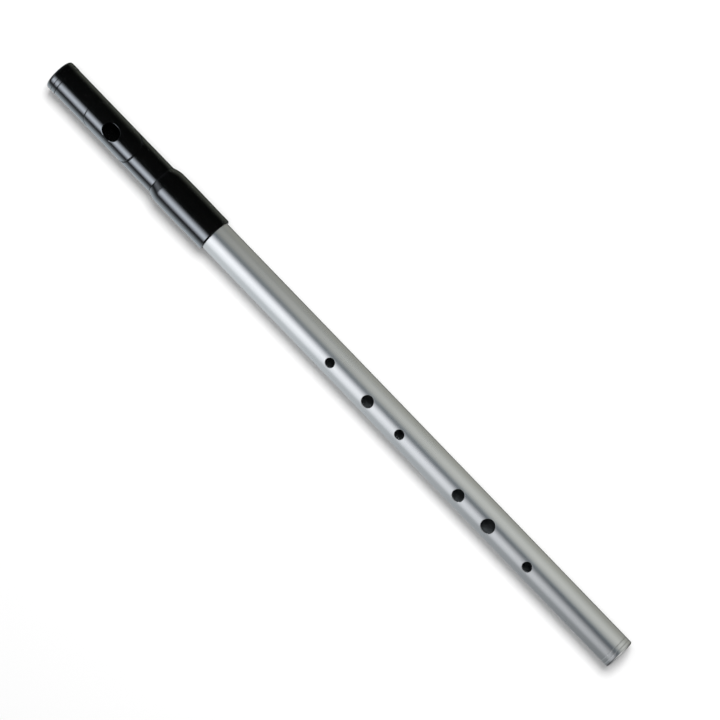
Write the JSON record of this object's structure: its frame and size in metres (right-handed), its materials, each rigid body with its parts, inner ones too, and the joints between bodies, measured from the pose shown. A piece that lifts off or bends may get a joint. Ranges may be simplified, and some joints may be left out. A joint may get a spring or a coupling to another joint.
{
  "type": "piccolo",
  "caption": "Keyless two-piece transverse piccolo: black polymer headjoint with a screw-adjusted stopper, and a satin aluminium body tube with finger holes.",
  "frame": {"origin": "under the middle of the instrument's length, on the plane that the socket sleeve touches; the instrument's axis is 7.59 mm above it", "axes": "+X along the instrument from the crown to the foot, +Z the way the embouchure faces, +Y away from the player"},
  "size_m": [0.307, 0.0152, 0.0152],
  "materials": {
    "black_polymer": "turned and polished black polymer",
    "satin_aluminium": "satin, fine lengthwise grain",
    "brass": "turned",
    "steel": "bright threaded rod",
    "cork": "natural cork, greased",
    "rubber": "smooth"
  },
  "bodies": {
    "head": {"head_tube": "black_polymer", "socket_sleeve": "black_polymer"},
    "crown": {"crown": "black_polymer"},
    "stopper": {"stopper_screw": "steel", "stopper_nut": "brass", "stopper_cork": "cork", "stopper_plate": "brass"},
    "seal_rings": {"tenon_ring_1": "rubber", "tenon_ring_2": "rubber"},
    "body": {"body_tube": "satin_aluminium"}
  },
  "joints": [
    {"name": "crown_turn", "type": "hinge", "parent": "head", "child": "crown", "pos_m": [-0.14885, 0, 0.00759], "axis": [1, 0, 0], "range_deg": [-720, 720]},
    {"name": "stopper_travel", "type": "slide", "parent": "head", "child": "stopper", "axis": [1, 0, 0], "range_m": [-0.0014, 0.0014]},
    {"name": "tuning_slide", "type": "slide", "parent": "head", "child": "seal_rings", "axis": [1, 0, 0], "range_m": [0, 0.027]},
    {"name": "body_turn", "type": "hinge", "parent": "seal_rings", "child": "body", "pos_m": [-0.07725, 0, 0.00759], "axis": [1, 0, 0], "continuous": true}
  ],
  "couplings": [
    {"joint": "crown_turn", "follows": "stopper_travel", "rad_per_m": -8975.9}
  ]
}
